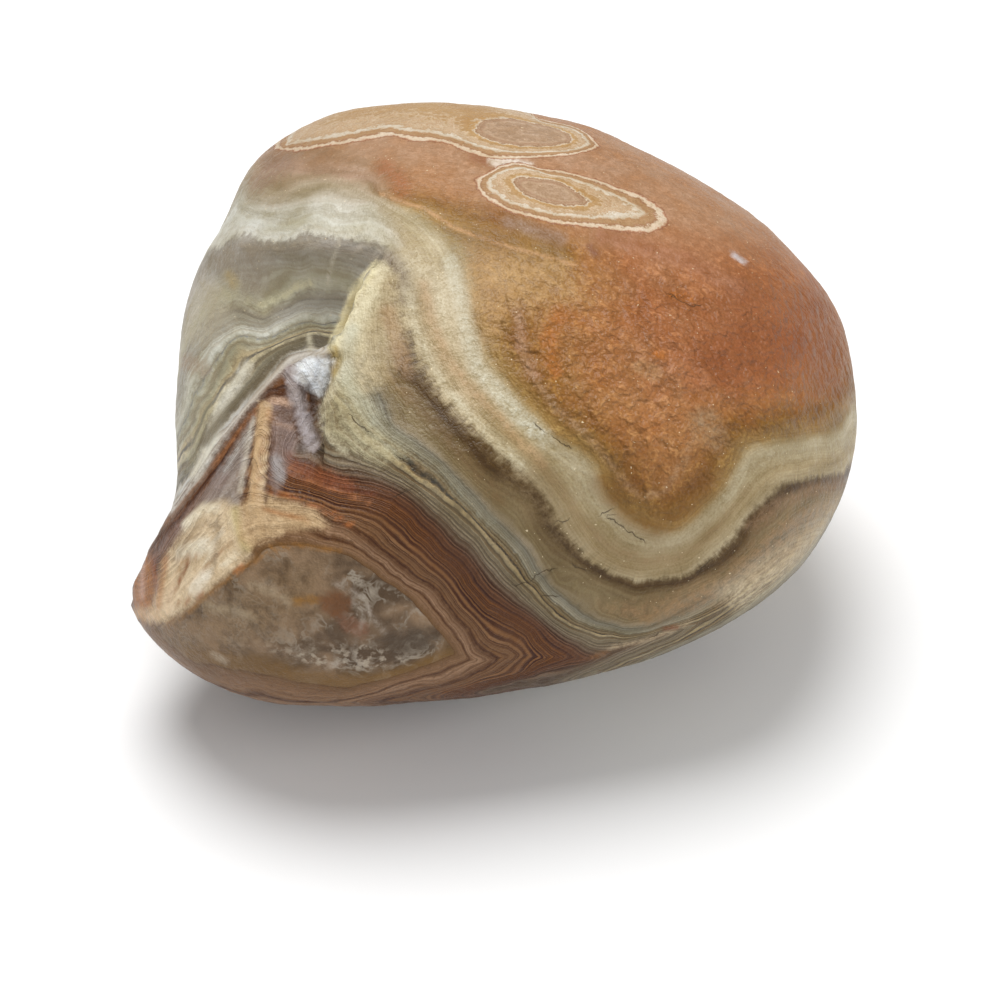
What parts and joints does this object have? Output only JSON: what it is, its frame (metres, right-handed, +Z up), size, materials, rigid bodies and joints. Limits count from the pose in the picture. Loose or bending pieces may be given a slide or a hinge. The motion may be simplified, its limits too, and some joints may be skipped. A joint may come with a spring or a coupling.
{
  "type": "lake superior agate",
  "caption": "Water-worn banded chalcedony nodule with a broken hollow, a crisp ridge and a blunt toe; a loose stone that rests on a small worn flat.",
  "frame": {"origin": "centre of the bounding box's bottom face, on the surface the stone rests on", "axes": "+Z up; +X to the right as the picture's viewer sees it; the viewer is on the -Y side, looking down by 38 degrees; the hollow is on the -X side"},
  "size_m": [0.0566, 0.0558, 0.0386],
  "materials": {
    "agate": "banded orange, cream, tan, olive grey and rust chalcedony with a worn, satin skin and a smoky quartz core"
  },
  "bodies": {
    "root": {"agate": "agate"}
  },
  "joints": []
}
